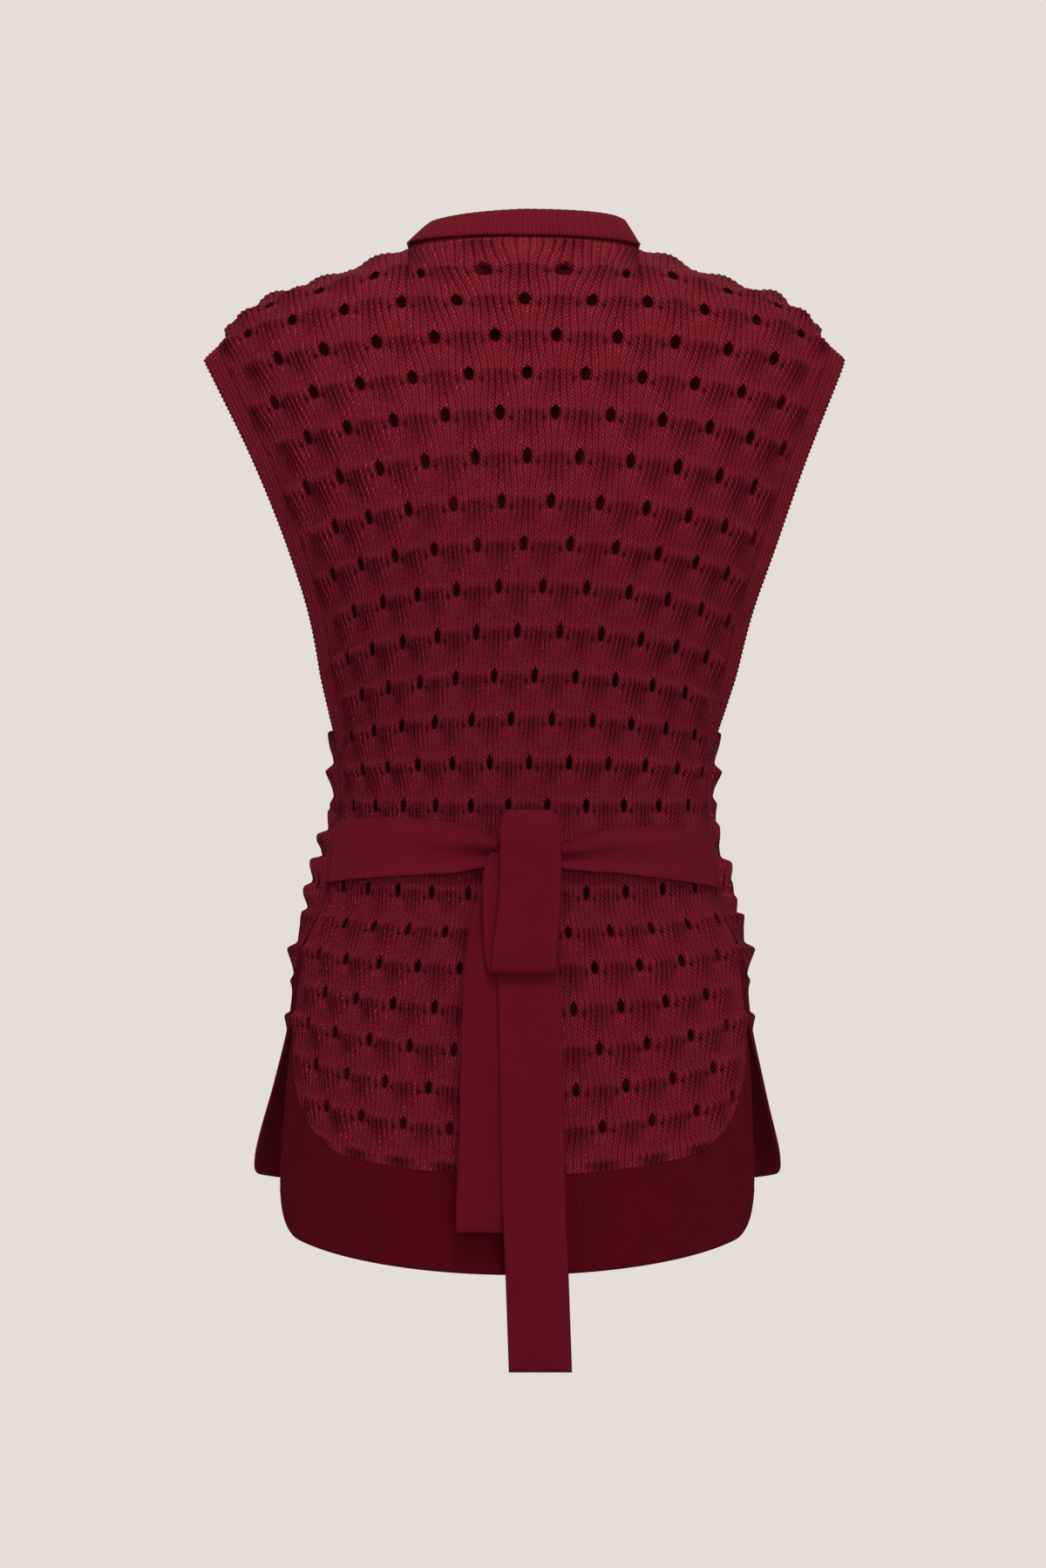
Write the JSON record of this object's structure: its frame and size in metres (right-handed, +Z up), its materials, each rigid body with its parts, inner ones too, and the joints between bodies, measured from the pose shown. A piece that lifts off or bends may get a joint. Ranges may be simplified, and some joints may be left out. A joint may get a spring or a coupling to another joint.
{
  "type": "sleeveless openwork knit vest",
  "caption": "Sleeveless openwork knit vest in its worn form, with a ribbed neck, ribbed armholes, side slits, a deep ribbed hem and a belt tied at the back in a half bow",
  "frame": {"origin": "midway between the neck ends of the two shoulder seams, where the wearer's shoulders hold the vest up", "axes": "+Z up along the height of the vest, its longest extent; -Y out of its back, where the belt is tied; +Y out of its front; +X to the wearer's right"},
  "size_m": [0.4251, 0.2536, 0.7464],
  "materials": {
    "back_panel": "matt openwork knit",
    "front_panel": "matt openwork knit",
    "back_hem_band": "matt fine rib",
    "front_hem_band": "matt fine rib",
    "neckband": "matt rib",
    "armhole_band_left": "matt fine rib",
    "armhole_band_right": "matt fine rib",
    "belt_strap_left": "smooth jersey",
    "belt_strap_right": "smooth jersey",
    "belt_knot": "smooth jersey",
    "belt_bow": "smooth jersey",
    "belt_tail_short": "smooth jersey",
    "belt_tail_long": "smooth jersey"
  },
  "bodies": {
    "root": {"back_panel": "back_panel", "front_panel": "front_panel", "back_hem_band": "back_hem_band", "front_hem_band": "front_hem_band", "neckband": "neckband", "armhole_band_left": "armhole_band_left", "armhole_band_right": "armhole_band_right", "belt_strap_left": "belt_strap_left", "belt_strap_right": "belt_strap_right", "belt_knot": "belt_knot", "belt_bow": "belt_bow", "belt_tail_short": "belt_tail_short", "belt_tail_long": "belt_tail_long"}
  },
  "joints": []
}
